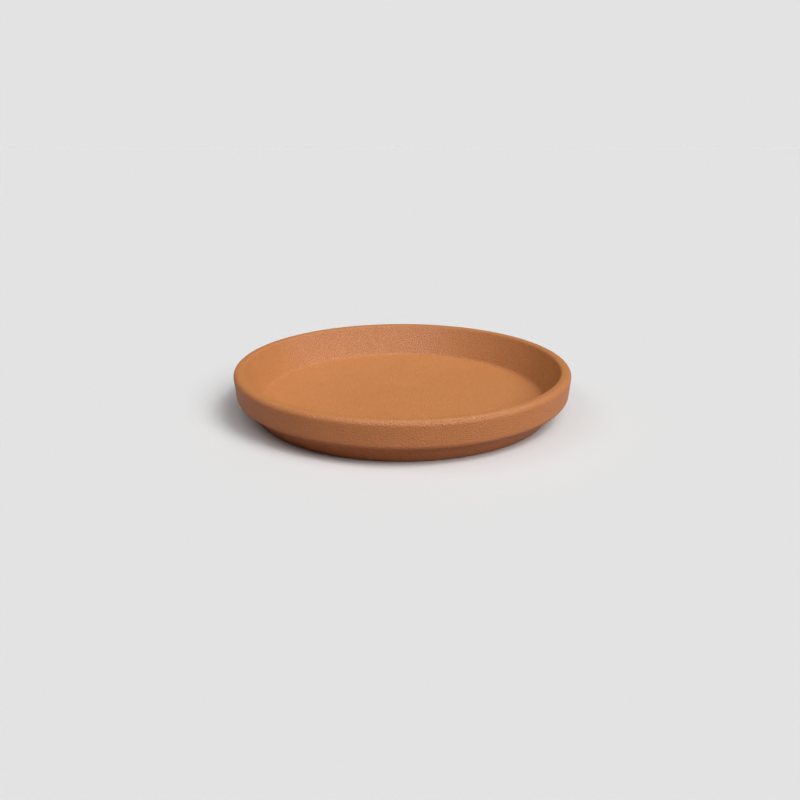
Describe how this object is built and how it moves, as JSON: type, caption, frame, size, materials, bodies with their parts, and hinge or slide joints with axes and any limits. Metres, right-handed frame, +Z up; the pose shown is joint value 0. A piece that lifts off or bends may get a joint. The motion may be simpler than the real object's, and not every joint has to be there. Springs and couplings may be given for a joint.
{
  "type": "plant saucer",
  "caption": "Round shallow thick-walled saucer in matt fired clay, with a tall collar band, a lower wall set back under it and a flat floor that catches water under a plant pot.",
  "frame": {"origin": "centre of the foot, on the ground that the saucer stands on", "axes": "+Z up along the axis of revolution; X and Y in the ground plane, with no preferred direction"},
  "size_m": [0.3, 0.3, 0.0403],
  "materials": {
    "fired_clay": "matt unglazed terracotta with a fine sandy grain"
  },
  "bodies": {
    "root": {"saucer": "fired_clay"}
  },
  "joints": []
}
